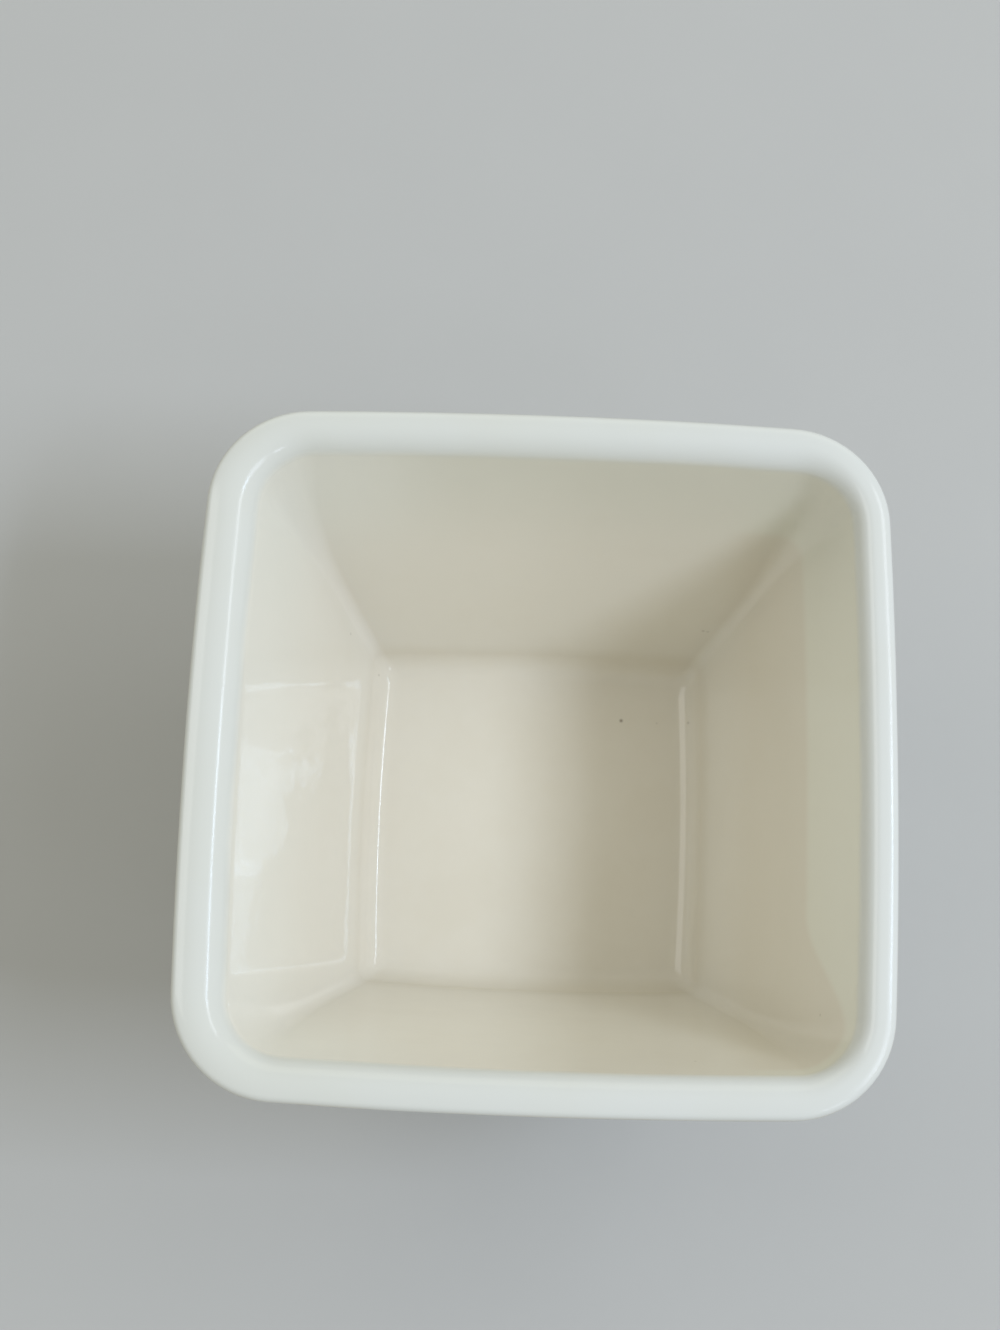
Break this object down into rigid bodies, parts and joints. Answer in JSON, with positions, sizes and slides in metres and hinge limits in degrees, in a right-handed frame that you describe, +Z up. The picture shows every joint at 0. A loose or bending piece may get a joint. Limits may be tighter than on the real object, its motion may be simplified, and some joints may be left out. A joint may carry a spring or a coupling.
{
  "type": "square sauce dish",
  "caption": "Square glazed ceramic sauce dish with sloping sides, soft corners, a round white lip, a cream inside and a bare foot ring.",
  "frame": {"origin": "on the table under the middle of the dish, at the level of the foot ring's face", "axes": "+Z straight up through the open mouth; X and Y square to the four sides, with -Y the side nearest the viewer and +X the thinner side of the lip"},
  "size_m": [0.09, 0.09, 0.062],
  "materials": {
    "bare_clay": "matte, fine-grained fired clay",
    "cream_glaze": "glossy cream glaze",
    "white_glaze": "glossy white glaze"
  },
  "bodies": {
    "root": {"clay_body": "bare_clay", "inside_glaze": "cream_glaze", "outside_glaze": "white_glaze"}
  },
  "joints": []
}
